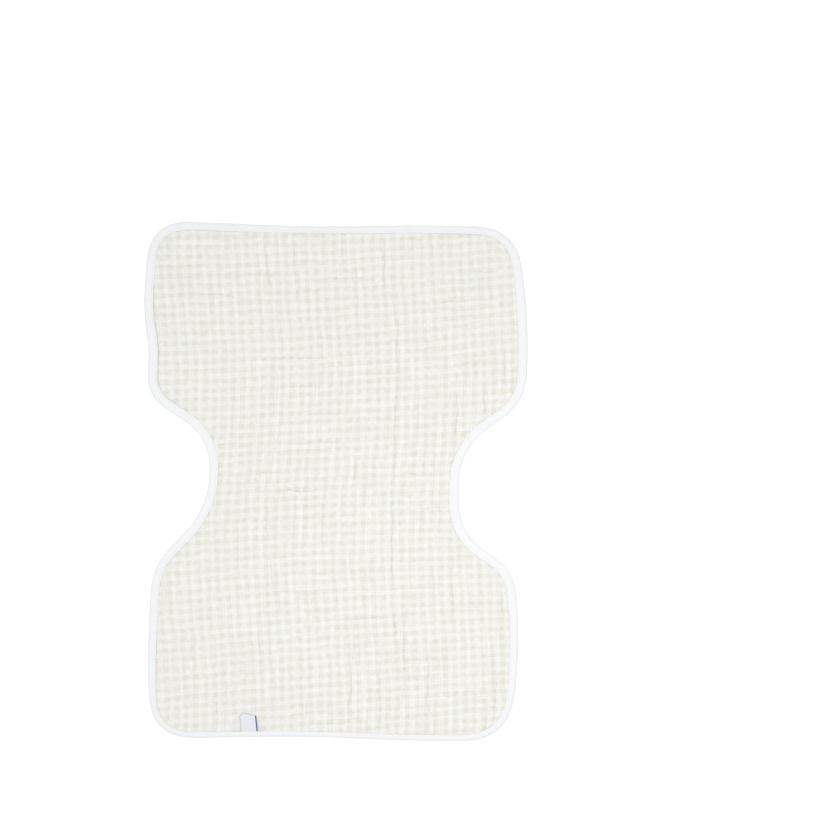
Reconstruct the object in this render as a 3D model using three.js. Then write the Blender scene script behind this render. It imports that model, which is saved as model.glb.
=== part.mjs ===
// A contour burp cloth, smoothed out flat on a table: one hourglass piece of crinkled cotton muslin,
// a folded cotton tape sewn over its cut edge all the way round, and a small bare label that is
// caught under the tape. Millimetres, +Z up. X runs across the cloth and Y along it, with the label
// at the -Y end. The origin is on the table, under the middle of the cloth.
import * as THREE from 'three';

// The cloth's size over the tape, and the clearance kept between pieces that touch.
const WIDTH = 319;
const LENGTH = 432;
const CLEARANCE = 0.3;

// The muslin: its thickness where it lies loose and where the tape presses it, and how far inside
// the tape it takes to come back to its full thickness.
const MUSLIN = { loose: 2.1, pressed: 1.0, easing: 2.2 };

// The tape: the thickness of one folded side, and how much higher its middle stands.
const TAPE = { side: 0.7, crown: 0.15 };

// The label: a ribbon folded in two, its ends under the tape. Its fold isn't square to its sides,
// so its right side is shorter. `x` is the middle of the label where it leaves the tape, `lean` how
// far it has gone over by its fold, `tail` what the tape hides of it, `ramp` the stretch in which it
// climbs onto the cloth, and `fold` the outer radius of its fold.
const LABEL = {
  x: -71.7,
  lean: -1.35,
  width: 13.4,
  longSide: 15,
  shortSide: 12.6,
  tail: 3,
  ramp: 3,
  ply: 0.25,
  fold: 0.45,
};

// How many steps the edge is cut into along the short ends and along the long sides. They are
// picked from `fine` points, evenly spaced, and the edge's direction is taken over `span` of those
// to each side.
const STEPS = { end: 34, side: 46, fine: 3000, span: 4 };

// The corners of the pattern where the cloth's four sides meet, clockwise.
const TURNS = ['top left', 'top right', 'bottom right', 'bottom left'];

// The paper pattern: straight lines between these corners, each corner rounded off from `round`
// millimetres before it to `round` millimetres after it. `tape` is the width of tape that shows
// there, which differs because the edge rolls a little as the cloth lies.
const PATTERN = [
  { place: 'top left', x: -154.6, y: 217.3, round: 35, tape: 6.9 },
  { place: 'dip in the top edge', x: -22, y: 211.6, round: 40, tape: 5.6 },
  { place: 'crest of the top edge', x: 80, y: 213, round: 32, tape: 6.1 },
  { place: 'top right', x: 150, y: 210.8, round: 34, tape: 6.9 },
  { place: 'right side', x: 160, y: 134, round: 34, tape: 7.9 },
  { place: 'right shoulder', x: 158, y: 66, round: 24, tape: 7.7 },
  { place: 'right waist, upper', x: 101.9, y: 26.8, round: 32, tape: 7.8 },
  { place: 'right waist, lower', x: 102, y: -43.4, round: 28, tape: 8.0 },
  { place: 'right hip', x: 147.8, y: -73.2, round: 20, tape: 7.8 },
  { place: 'right skirt', x: 153.4, y: -135, round: 38, tape: 6.8 },
  { place: 'bottom right', x: 143.8, y: -216.2, round: 40, tape: 5.9 },
  { place: 'bottom edge', x: 62, y: -216, round: 34, tape: 4.8 },
  { place: 'rise in the bottom edge', x: -30, y: -211.8, round: 40, tape: 4.4 },
  { place: 'bottom left', x: -154.2, y: -214.2, round: 38, tape: 5.3 },
  { place: 'left skirt', x: -156.8, y: -140, round: 34, tape: 6.4 },
  { place: 'left hip', x: -152.3, y: -70.2, round: 20, tape: 7.0 },
  { place: 'left waist, lower', x: -105.3, y: -21.4, round: 30, tape: 7.2 },
  { place: 'left waist, upper', x: -104.9, y: 36, round: 26, tape: 7.4 },
  { place: 'left shoulder', x: -157, y: 71, round: 18, tape: 8.0 },
  { place: 'left side, drawn in', x: -155.3, y: 111, round: 14, tape: 7.9 },
  { place: 'left side, let out', x: -160.2, y: 144, round: 18, tape: 7.4 },
];

// Low swells of the loose cloth: the distance from crest to crest across and along, and their height.
const SWELLS = [
  { across: 150, along: 260, shift: 0.4, height: 0.16 },
  { across: 83, along: -190, shift: 2.1, height: 0.1 },
  { across: 310, along: 74, shift: 4.0, height: 0.09 },
];

// The creases that show from a step away, from one end to the other. A negative height is a trough.
const CREASES = [
  { place: 'upper left, along', x0: -59, y0: 197, x1: -52, y1: 114, spread: 5, height: -0.5 },
  { place: 'middle left, along', x0: -52, y0: 44, x1: -49, y1: -15, spread: 5, height: -0.35 },
  { place: 'below the middle left, along', x0: -57, y0: -14, x1: -50, y1: -98, spread: 5, height: -0.35 },
  { place: 'middle right, along', x0: 51, y0: 136, x1: 47, y1: -133, spread: 5, height: -0.5 },
  { place: 'lower right, along', x0: 56, y0: -109, x1: 56, y1: -186, spread: 5, height: -0.4 },
  { place: 'lower middle, along', x0: 14, y0: -132, x1: 10, y1: -202, spread: 5, height: -0.45 },
  { place: 'lower left, along', x0: -100, y0: -150, x1: -99, y1: -204, spread: 5, height: -0.35 },
  { place: 'right waist, upper', x0: 101, y0: 76, x1: 100, y1: 28, spread: 5, height: -0.35 },
  { place: 'right waist, lower', x0: 97, y0: -53, x1: 96, y1: -119, spread: 5, height: -0.4 },
  { place: 'right hip, along', x0: 138, y0: -82, x1: 130, y1: -205, spread: 5, height: -0.4 },
  { place: 'upper left, across', x0: -144, y0: 155, x1: -58, y1: 150, spread: 4, height: -0.4 },
  { place: 'waist, across', x0: -97, y0: -10, x1: -12, y1: -7, spread: 4, height: -0.3 },
];

const tapeSides = { bottom: 0, top: 2 * (TAPE.side + CLEARANCE) + MUSLIN.pressed };
const pressedSides = { bottom: TAPE.side + CLEARANCE, top: TAPE.side + CLEARANCE + MUSLIN.pressed };

// The outline of the pattern as a fine closed run of points, clockwise from above, brought to the
// cloth's width and length and set about the origin.
function fineOutline() {
  const away = (corner, other) => {
    const side = new THREE.Vector2(other.x - corner.x, other.y - corner.y);
    return side.setLength(corner.round).add(new THREE.Vector2(corner.x, corner.y));
  };
  const path = new THREE.Path();
  PATTERN.forEach((corner, i) => {
    const start = away(corner, PATTERN.at(i - 1));
    const end = away(corner, PATTERN[(i + 1) % PATTERN.length]);
    if (i === 0) path.moveTo(start.x, start.y);
    else path.lineTo(start.x, start.y);
    path.quadraticCurveTo(corner.x, corner.y, end.x, end.y);
  });
  path.closePath();
  const points = path.getSpacedPoints(STEPS.fine).slice(0, STEPS.fine);
  const box = new THREE.Box2().setFromPoints(points);
  const middle = box.getCenter(new THREE.Vector2());
  const size = box.getSize(new THREE.Vector2());
  const fit = new THREE.Vector2(WIDTH / size.x, LENGTH / size.y);
  return points.map((point) => point.clone().sub(middle).multiply(fit));
}

// The edge cut into steps: each side of the cloth from one rounded corner to the next, evenly, with
// the outward direction and the width of tape at each point.
function cutEdge() {
  const fine = fineOutline();
  const cornerAt = PATTERN.map((corner) => {
    const distance = (point) => Math.hypot(point.x - corner.x, point.y - corner.y);
    return fine.reduce((best, point, i) => (distance(point) < distance(fine[best]) ? i : best), 0);
  });
  const places = PATTERN.map((corner) => corner.place);
  const turns = TURNS.map((place) => cornerAt[places.indexOf(place)]);
  const edge = [];
  turns.forEach((turn, k) => {
    const steps = k % 2 ? STEPS.side : STEPS.end;
    const run = (turns[(k + 1) % 4] - turn + fine.length) % fine.length;
    for (let i = 0; i < steps; i++) {
      const at = (turn + Math.round((run * i) / steps)) % fine.length;
      const ahead = fine[(at + STEPS.span) % fine.length];
      const along = ahead.clone().sub(fine.at(at - STEPS.span));
      const out = new THREE.Vector2(-along.y, along.x).normalize();
      edge.push({ point: fine[at], out, tape: tapeWidth(at, cornerAt, fine.length) });
    }
  });
  return edge;
}

// The width of tape that shows at a point of the outline, going evenly from one corner's width to
// the next one's. `cornerAt` says which point is nearest each corner, and `count` is all the points.
function tapeWidth(at, cornerAt, count) {
  const past = (from) => (at - from + count) % count;
  const last = cornerAt.reduce((best, from, k) => (past(from) < past(cornerAt[best]) ? k : best), 0);
  const next = (last + 1) % PATTERN.length;
  const run = (cornerAt[next] - cornerAt[last] + count) % count;
  return THREE.MathUtils.lerp(PATTERN[last].tape, PATTERN[next].tape, past(cornerAt[last]) / run);
}

// How far a point is from a crease's line, and along it from 0 at one end to 1 at the other.
function besideCrease(crease, x, y) {
  const line = new THREE.Vector2(crease.x1 - crease.x0, crease.y1 - crease.y0);
  const from = new THREE.Vector2(x - crease.x0, y - crease.y0);
  const share = THREE.MathUtils.clamp(from.dot(line) / line.lengthSq(), 0, 1);
  return { share, distance: from.sub(line.multiplyScalar(share)).length() };
}

// The height of the muslin's upper face at a point, where no tape presses it. A crease is deepest in
// its middle and dies out at its ends.
function upperFace(x, y) {
  let height = MUSLIN.loose;
  for (const swell of SWELLS) {
    const turns = x / swell.across + y / swell.along;
    height += swell.height * Math.sin(2 * Math.PI * turns + swell.shift);
  }
  for (const crease of CREASES) {
    const { share, distance } = besideCrease(crease, x, y);
    const depth = crease.height * Math.sqrt(Math.sin(Math.PI * share));
    height += depth * Math.exp(-((distance / crease.spread) ** 2));
  }
  return height;
}

// Collects a skin of triangles over shared points, and makes it a geometry.
class Skin {
  constructor() {
    this.positions = [];
    this.faces = [];
  }

  point(x, y, z) {
    this.positions.push(x, y, z);
    return this.positions.length / 3 - 1;
  }

  quad(a, b, c, d) {
    this.faces.push(a, b, c, a, c, d);
  }

  // A band from one closed run of points to the next. Runs go clockwise, and a piece's runs are
  // taken in turn up its outside, so that every band faces out.
  band(run, next) {
    run.forEach((point, i) => {
      const ahead = (i + 1) % run.length;
      this.quad(point, next[i], next[ahead], run[ahead]);
    });
  }

  geometry() {
    const geometry = new THREE.BufferGeometry();
    geometry.setAttribute('position', new THREE.Float32BufferAttribute(this.positions, 3));
    geometry.setIndex(this.faces);
    geometry.computeVertexNormals();
    return geometry;
  }
}

// A closed run of points that follows the edge, `inset` inside it, at a height.
function follow(skin, edge, inset, height) {
  return edge.map((step) => {
    const x = step.point.x - step.out.x * inset(step);
    const y = step.point.y - step.out.y * inset(step);
    return skin.point(x, y, height(x, y));
  });
}

// The muslin in one piece: pressed thin under the tape, easing to its full thickness inside it, flat
// underneath and gently uneven on top.
function makeMuslin(edge) {
  const skin = new Skin();
  const rim = () => TAPE.side + 2 * CLEARANCE;
  const tapeEdge = (step) => step.tape + CLEARANCE;
  const eased = (step) => step.tape + CLEARANCE + MUSLIN.easing;
  const runs = [
    follow(skin, edge, eased, () => 0),
    follow(skin, edge, tapeEdge, () => pressedSides.bottom),
    follow(skin, edge, rim, () => pressedSides.bottom),
    follow(skin, edge, rim, () => pressedSides.top),
    follow(skin, edge, tapeEdge, () => pressedSides.top),
    follow(skin, edge, eased, upperFace),
  ];
  for (let i = 1; i < runs.length; i++) skin.band(runs[i - 1], runs[i]);
  const place = (i) => new THREE.Vector2(skin.positions[3 * i], skin.positions[3 * i + 1]);
  const under = THREE.ShapeUtils.triangulateShape(runs[0].map(place), []);
  for (const [a, b, c] of under) {
    const turn = place(b).sub(place(a)).cross(place(c).sub(place(a)));
    skin.faces.push(...(turn < 0 ? [a, b, c] : [a, c, b]));
  }
  coverTop(skin, runs.at(-1), place);
  return skin.geometry();
}

// The upper face: a grid of points spread between the four sides of the last run, so that its lines
// bend with the outline as the checks of the cloth do.
function coverTop(skin, run, place) {
  const { end, side } = STEPS;
  const topSide = (i) => run[i];
  const rightSide = (j) => run[end + j];
  const bottomSide = (i) => run[2 * end + side - i];
  const leftSide = (j) => run[(run.length - j) % run.length];
  const corners = [topSide(0), topSide(end), bottomSide(0), bottomSide(end)].map(place);
  const grid = [];
  for (let j = 0; j <= side; j++) {
    const row = [];
    for (let i = 0; i <= end; i++) {
      if (j === 0) row.push(topSide(i));
      else if (j === side) row.push(bottomSide(i));
      else if (i === 0) row.push(leftSide(j));
      else if (i === end) row.push(rightSide(j));
      else {
        const u = i / end;
        const v = j / side;
        const between = place(topSide(i)).lerp(place(bottomSide(i)), v);
        between.add(place(leftSide(j)).lerp(place(rightSide(j)), u));
        const upper = corners[0].clone().lerp(corners[1], u);
        const lower = corners[2].clone().lerp(corners[3], u);
        between.sub(upper.lerp(lower, v));
        row.push(skin.point(between.x, between.y, upperFace(between.x, between.y)));
      }
    }
    grid.push(row);
  }
  for (let j = 0; j < side; j++) {
    for (let i = 0; i < end; i++) skin.quad(grid[j][i], grid[j + 1][i], grid[j + 1][i + 1], grid[j][i + 1]);
  }
}

// How far the tape's upper side is lifted at a point by the label's two plies under it. The lift is
// whole for one step of the edge past the label, and dies out over the next one and a half.
function liftOverLabel(x, y) {
  if (y > 0) return 0;
  const step = WIDTH / STEPS.end;
  const past = Math.abs(x - LABEL.x) - LABEL.width / 2 - step;
  return (2 * LABEL.ply + CLEARANCE) * (1 - THREE.MathUtils.smoothstep(past, 0, 1.5 * step));
}

// The tape in one piece, folded round the pressed edge: a deep U lying on its side, with its round
// back outwards.
function makeTape(edge) {
  const skin = new Skin();
  const { bottom, top } = tapeSides;
  const flat = (height) => () => height;
  const lifted = (height) => (x, y) => height + liftOverLabel(x, y);
  const fixed = (inset) => () => inset;
  const share = (part) => (step) => step.tape * part;
  const runs = [
    follow(skin, edge, fixed(TAPE.side), flat(bottom)),
    follow(skin, edge, fixed(0), flat(bottom + TAPE.side)),
    follow(skin, edge, fixed(0), flat(top - TAPE.side)),
    follow(skin, edge, fixed(TAPE.side), lifted(top)),
    follow(skin, edge, share(0.5), lifted(top + TAPE.crown)),
    follow(skin, edge, share(1), lifted(top)),
    follow(skin, edge, share(1), lifted(top - TAPE.side)),
    follow(skin, edge, fixed(TAPE.side + CLEARANCE), lifted(top - TAPE.side)),
    follow(skin, edge, fixed(TAPE.side + CLEARANCE), flat(bottom + TAPE.side)),
    follow(skin, edge, share(1), flat(bottom + TAPE.side)),
    follow(skin, edge, share(1), flat(bottom)),
  ];
  runs.forEach((run, i) => skin.band(run, runs[(i + 1) % runs.length]));
  return skin.geometry();
}

// The label: a ribbon with its ends pressed together under the tape, rising over the cloth and
// folded back on itself. It is drawn from the side and pulled out to the label's width.
function makeLabel(edge) {
  const below = edge.filter((step) => step.point.y < 0);
  const beside = (step) => Math.abs(step.point.x - LABEL.x);
  const root = below.reduce((best, step) => (beside(step) < beside(best) ? step : best));
  const { tail, ramp, ply, fold } = LABEL;
  const seam = pressedSides.top + CLEARANCE;
  const rest = MUSLIN.loose + 2 * CLEARANCE;
  const reach = LABEL.longSide - fold;
  const side = new THREE.Shape();
  side.moveTo(-tail, seam);
  side.lineTo(0, seam);
  side.lineTo(ramp, rest);
  side.lineTo(reach, rest);
  side.absarc(reach, rest + fold, fold, -Math.PI / 2, Math.PI / 2, false);
  side.lineTo(ramp, rest + 2 * fold);
  side.lineTo(0, seam + 2 * ply);
  side.lineTo(-tail, seam + 2 * ply);
  const betweenPlies = new THREE.Path();
  betweenPlies.moveTo(ramp, rest + fold);
  betweenPlies.lineTo(ramp + 2 * fold, rest + 2 * fold - ply);
  betweenPlies.lineTo(reach, rest + 2 * fold - ply);
  betweenPlies.lineTo(reach, rest + ply);
  betweenPlies.lineTo(ramp + 2 * fold, rest + ply);
  betweenPlies.closePath();
  side.holes.push(betweenPlies);
  const pull = { depth: LABEL.width, bevelEnabled: false, curveSegments: 6 };
  const geometry = new THREE.ExtrudeGeometry(side, pull);
  const points = geometry.getAttribute('position');
  const inner = root.point.y + root.tape;
  for (let i = 0; i < points.count; i++) {
    const across = points.getZ(i) / LABEL.width;
    const length = THREE.MathUtils.lerp(1, LABEL.shortSide / LABEL.longSide, across);
    const along = points.getX(i);
    const y = inner + (along > 0 ? along * length : along);
    const middle = LABEL.x + (LABEL.lean * Math.max(along, 0)) / LABEL.longSide;
    points.setXYZ(i, middle + (across - 0.5) * LABEL.width, y, points.getY(i));
  }
  geometry.computeVertexNormals();
  return geometry;
}

function cloth(name, geometry, color, roughness) {
  const material = new THREE.MeshStandardMaterial({ color, roughness, metalness: 0 });
  const mesh = new THREE.Mesh(geometry, material);
  mesh.name = name;
  return mesh;
}

const edge = cutEdge();
const burpCloth = new THREE.Group();
burpCloth.add(cloth('muslin_panel', makeMuslin(edge), 0xf0efe8, 0.95));
burpCloth.add(cloth('edge_binding', makeTape(edge), 0xf6f7f8, 0.9));
burpCloth.add(cloth('sewn_label', makeLabel(edge), 0xe6e9ee, 0.7));

export default burpCloth;
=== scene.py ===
# %% [markdown]
# # A contour burp cloth in check muslin
#
# This cloth is one hourglass piece of crinkled cotton gauze with a folded tape sewn over its cut edge
# and a small ribbon label caught under the tape. It lies smoothed out flat on a white table and is seen
# from straight above. The construction, with its real sizes, comes from the CAD frame, and this script
# makes what the eye sees: the crinkle, the woven check, the soft tape with its stitches, and the ribbon.

# %% Load the frame
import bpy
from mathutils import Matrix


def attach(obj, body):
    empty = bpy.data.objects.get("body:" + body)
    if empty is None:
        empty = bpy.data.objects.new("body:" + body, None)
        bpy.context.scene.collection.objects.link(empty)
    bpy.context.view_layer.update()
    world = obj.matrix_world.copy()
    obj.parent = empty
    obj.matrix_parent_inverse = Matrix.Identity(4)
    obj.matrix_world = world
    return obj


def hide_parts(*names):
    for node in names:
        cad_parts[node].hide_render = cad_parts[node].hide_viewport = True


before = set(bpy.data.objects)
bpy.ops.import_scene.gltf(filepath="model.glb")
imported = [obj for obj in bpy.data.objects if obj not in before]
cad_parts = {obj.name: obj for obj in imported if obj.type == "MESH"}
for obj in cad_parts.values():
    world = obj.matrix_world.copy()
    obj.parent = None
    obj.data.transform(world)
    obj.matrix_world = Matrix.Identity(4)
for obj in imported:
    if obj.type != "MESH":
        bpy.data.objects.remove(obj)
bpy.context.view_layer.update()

# %% Other modules
import math

import bmesh
import bpy
from mathutils import Matrix, Vector, noise
from mathutils.kdtree import KDTree

MM = 0.001

# %% [markdown]
# ## Camera
#
# The picture is taken from straight above, square to the cloth. A longer lens far away keeps the edges
# of so flat a thing from leaning, so a 100 mm lens is used, as a photographer would on a copy stand.
# The cloth lies below and to the left of the picture's middle, so the camera is moved, not turned.

# %% The camera
VIEW = {"width": 699.3, "middle_x": 69.9, "middle_y": 51.2, "lens": 100.0, "film": 36.0}


def add_camera():
    distance = VIEW["width"] * VIEW["lens"] / VIEW["film"]
    bpy.ops.object.camera_add(
        location=(VIEW["middle_x"] * MM, VIEW["middle_y"] * MM, distance * MM), rotation=(0, 0, 0)
    )
    camera = bpy.context.object
    camera.name = "copy_stand_camera"
    camera.data.lens = VIEW["lens"]
    camera.data.sensor_width = VIEW["film"]
    bpy.context.scene.camera = camera
    return distance


print("camera height, mm:", round(add_camera(), 1))

# %% [markdown]
# ## The paper pattern
#
# A maker cuts this cloth round a paper pattern: straight lines between corners, each corner rounded
# off. The rows below are the same as in the CAD source, in millimetres from the middle of the cloth,
# clockwise from the top left, with the width of tape that shows at each corner. Every piece follows this
# one outline, so it is worked out once.

# %% Sizes of the cloth and its outline
WIDTH = 319.0
LENGTH = 432.0
OUTLINE_STEP = 1.0

PATTERN = [
    {"place": "top left", "x": -154.6, "y": 217.3, "round": 35, "tape": 6.9},
    {"place": "dip in the top edge", "x": -22, "y": 211.6, "round": 40, "tape": 5.6},
    {"place": "crest of the top edge", "x": 80, "y": 213, "round": 32, "tape": 6.1},
    {"place": "top right", "x": 150, "y": 210.8, "round": 34, "tape": 6.9},
    {"place": "right side", "x": 160, "y": 134, "round": 34, "tape": 7.9},
    {"place": "right shoulder", "x": 158, "y": 66, "round": 24, "tape": 7.7},
    {"place": "right waist, upper", "x": 101.9, "y": 26.8, "round": 32, "tape": 7.8},
    {"place": "right waist, lower", "x": 102, "y": -43.4, "round": 28, "tape": 8.0},
    {"place": "right hip", "x": 147.8, "y": -73.2, "round": 20, "tape": 7.8},
    {"place": "right skirt", "x": 153.4, "y": -135, "round": 38, "tape": 6.8},
    {"place": "bottom right", "x": 143.8, "y": -216.2, "round": 40, "tape": 5.9},
    {"place": "bottom edge", "x": 62, "y": -216, "round": 34, "tape": 4.8},
    {"place": "rise in the bottom edge", "x": -30, "y": -211.8, "round": 40, "tape": 4.4},
    {"place": "bottom left", "x": -154.2, "y": -214.2, "round": 38, "tape": 5.3},
    {"place": "left skirt", "x": -156.8, "y": -140, "round": 34, "tape": 6.4},
    {"place": "left hip", "x": -152.3, "y": -70.2, "round": 20, "tape": 7.0},
    {"place": "left waist, lower", "x": -105.3, "y": -21.4, "round": 30, "tape": 7.2},
    {"place": "left waist, upper", "x": -104.9, "y": 36, "round": 26, "tape": 7.4},
    {"place": "left shoulder", "x": -157, "y": 71, "round": 18, "tape": 8.0},
    {"place": "left side, drawn in", "x": -155.3, "y": 111, "round": 14, "tape": 7.9},
    {"place": "left side, let out", "x": -160.2, "y": 144, "round": 18, "tape": 7.4},
]

# %% The outline as a closed run of even steps
ARC_STEPS = 40


def rounded_corners():
    """The pattern's corners rounded off, as one closed run of points."""
    points = []
    for i, row in enumerate(PATTERN):
        corner = Vector((row["x"], row["y"]))
        before, after = (Vector((p["x"], p["y"])) for p in (PATTERN[i - 1], PATTERN[(i + 1) % len(PATTERN)]))
        start = corner + (before - corner).normalized() * row["round"]
        end = corner + (after - corner).normalized() * row["round"]
        for k in range(ARC_STEPS + 1):
            t = k / ARC_STEPS
            points.append(start.lerp(corner, t).lerp(corner.lerp(end, t), t))
    return points


def fitted(points):
    """The run moved and stretched a little, so that it has the cloth's width and length about 0, 0."""
    low = Vector((min(p.x for p in points), min(p.y for p in points)))
    high = Vector((max(p.x for p in points), max(p.y for p in points)))
    middle, size = (low + high) / 2, high - low
    return [Vector(((p.x - middle.x) * WIDTH / size.x, (p.y - middle.y) * LENGTH / size.y)) for p in points]


def even_steps(points, count):
    """`count` points at even distances along a closed run."""
    lengths = [(points[(i + 1) % len(points)] - p).length for i, p in enumerate(points)]
    step = sum(lengths) / count
    result, i, walked = [], 0, 0.0
    for k in range(count):
        while walked + lengths[i] < k * step:
            walked += lengths[i]
            i += 1
        share = (k * step - walked) / lengths[i]
        result.append(points[i].lerp(points[(i + 1) % len(points)], share))
    return result


raw_outline = fitted(rounded_corners())
perimeter = sum((raw_outline[i] - raw_outline[i - 1]).length for i in range(len(raw_outline)))
outline = even_steps(raw_outline, round(perimeter / OUTLINE_STEP))
print("outline:", len(outline), "steps, perimeter in mm:", round(perimeter, 1))

# %% [markdown]
# Each step of the outline also needs to know which way is out, and how wide the tape shows there. The
# cloth rolls a little at its edges as it lies, so the tape is wider at some corners than at others.

# %% Directions and tape widths round the outline
TURN_SPAN = 3
WIDTH_WAVE = {"length": 46.0, "amount": 0.35}


def outward(i):
    along = outline[(i + TURN_SPAN) % len(outline)] - outline[i - TURN_SPAN]
    return Vector((-along.y, along.x)).normalized()


def tape_width(i):
    """The width of tape at a step, going evenly from one corner's to the next, and a little uneven."""
    count = len(outline)
    last = min(range(len(PATTERN)), key=lambda k: (i - corner_steps[k]) % count)
    following = (last + 1) % len(PATTERN)
    share = (i - corner_steps[last]) % count / ((corner_steps[following] - corner_steps[last]) % count)
    width = PATTERN[last]["tape"] + share * (PATTERN[following]["tape"] - PATTERN[last]["tape"])
    uneven = noise.noise(Vector((outline[i].x, outline[i].y, 0)) / WIDTH_WAVE["length"])
    return width + uneven * WIDTH_WAVE["amount"]


edge_finder = KDTree(len(outline))
for i, point in enumerate(outline):
    edge_finder.insert((point.x, point.y, 0), i)
edge_finder.balance()
corner_steps = [edge_finder.find((row["x"], row["y"], 0))[1] for row in PATTERN]
outs = [outward(i) for i in range(len(outline))]
tape_shows = [tape_width(i) for i in range(len(outline))]
print("tape shows from", round(min(tape_shows), 2), "to", round(max(tape_shows), 2), "mm")

# %% [markdown]
# ## How the threads run
#
# Both the colours and the crinkle follow the threads, so one function gives, for any place on the table,
# the place in the flat, unpulled cloth. One wave down the warp, and how high the weft lies at each side,
# are enough to say how they run.

# %% The pull on the threads
SIDE_X = 133.0
END_Y = 200.0
WARP_SNAKE = {"length": 270.0, "crest_y": 85.0, "left": 3.5, "right": 2.0}
WEFT_LEFT = {"top": -4.0, "bottom": -12.0}
WEFT_RIGHT = {"height": 7.0, "wave": 3.5, "length": 340.0, "crest_y": 130.0}
STRAY = {"length": 26.0, "amount": 0.9, "seed": 7.0}
NOISE_SEED = 7

# Blender draws `noise_vector` anew in each run unless it has a seed, and the cloth must come out the same.
noise.seed_set(NOISE_SEED)


def wave_down(row, y):
    """A wave down the cloth, from 1 at its crest to -1."""
    return math.cos(2 * math.pi * (y - row["crest_y"]) / row["length"])


def warp_lean(x, y):
    """How far the warp is pushed to the right."""
    share = (x / SIDE_X + 1) / 2
    amount = WARP_SNAKE["left"] + share * (WARP_SNAKE["right"] - WARP_SNAKE["left"])
    return amount * wave_down(WARP_SNAKE, y)


def weft_rise(x, y):
    """How far the weft is pushed up: nothing at the middle, and a smooth curve to either side."""
    from_top = (1 - y / END_Y) / 2
    left = WEFT_LEFT["top"] + from_top * (WEFT_LEFT["bottom"] - WEFT_LEFT["top"])
    right = WEFT_RIGHT["height"] + WEFT_RIGHT["wave"] * wave_down(WEFT_RIGHT, y)
    t = x / SIDE_X
    return t * (right - left) / 2 + t * t * (left + right) / 2


def thread_place(x, y):
    """Where a point of the laid cloth is in the flat cloth: across the warp, and along it."""
    stray = noise.noise_vector(Vector((x, y, STRAY["seed"])) / STRAY["length"]) * STRAY["amount"]
    return x - warp_lean(x, y) + stray.x, y - weft_rise(x, y) + stray.y


print("pull near the top right, mm:", round(warp_lean(130, 150), 2), round(weft_rise(130, 150), 2))

# %% [markdown]
# ## The crinkle
#
# Muslin burp cloth is two or more layers of gauze tacked together in the weave. Washing shrinks the
# layers unevenly, so the cloth puffs up between the tacks and creases along its threads. The puffs and
# the fine crinkle come from waves and noise that follow the threads. The low swells of the loose cloth
# are the CAD source's. The creases that show from a step away are placed one by one: the CAD has only
# the main ones, broader and each in one run, where here they are finer and many go in shorter pieces.

# %% Swells and creases
SWELLS = [
    {"across": 150, "along": 260, "shift": 0.4, "height": 0.16},
    {"across": 83, "along": -190, "shift": 2.1, "height": 0.1},
    {"across": 310, "along": 74, "shift": 4.0, "height": 0.09},
]

CREASES_ALONG = [
    {"from": (-59, 197), "to": (-54, 158), "deep": 0.6},
    {"from": (-54, 158), "to": (-52, 114), "deep": 0.5},
    {"from": (-52, 46), "to": (-52, 14), "deep": 0.5},
    {"from": (-48, 3), "to": (-48, -15), "deep": 0.4},
    {"from": (-58, -13), "to": (-57, -55), "deep": 0.4},
    {"from": (-57, -55), "to": (-50, -99), "deep": 0.4},
    {"from": (50, 136), "to": (51, 89), "deep": 0.7},
    {"from": (51, 89), "to": (47, -7), "deep": 0.6},
    {"from": (47, -7), "to": (47, -111), "deep": 0.6},
    {"from": (47, -104), "to": (49, -134), "deep": 0.5},
    {"from": (56, -109), "to": (56, -186), "deep": 0.7},
    {"from": (37, -139), "to": (36, -208), "deep": 0.4},
    {"from": (14, -132), "to": (14, -155), "deep": 0.5},
    {"from": (14, -152), "to": (10, -202), "deep": 0.7},
    {"from": (41, 201), "to": (40, 163), "deep": 0.6},
    {"from": (46, 158), "to": (47, 143), "deep": 0.4},
    {"from": (16, 183), "to": (18, 155), "deep": 0.4},
    {"from": (101, 76), "to": (100, 28), "deep": 0.6},
    {"from": (123, 84), "to": (123, 53), "deep": 0.6},
    {"from": (140, 110), "to": (140, 81), "deep": 0.5},
    {"from": (97, -53), "to": (96, -119), "deep": 0.6},
    {"from": (138, -82), "to": (138, -134), "deep": 0.6},
    {"from": (135, -157), "to": (130, -205), "deep": 0.6},
    {"from": (78, -132), "to": (76, -207), "deep": 0.4},
    {"from": (-35, 201), "to": (-34, 174), "deep": 0.4},
    {"from": (-100, -178), "to": (-99, -204), "deep": 0.6},
    {"from": (-25, -174), "to": (-24, -204), "deep": 0.4},
    {"from": (-98, 43), "to": (-97, -14), "deep": 0.5},
    {"from": (-142, -67), "to": (-142, -114), "deep": 0.4},
    {"from": (-19, 124), "to": (-20, 81), "deep": 0.3},
    {"from": (15, 18), "to": (16, -2), "deep": 0.6},
    {"from": (-75, 8), "to": (-75, -21), "deep": 0.4},
    {"from": (11, -15), "to": (9, -55), "deep": 0.3},
]
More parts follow.
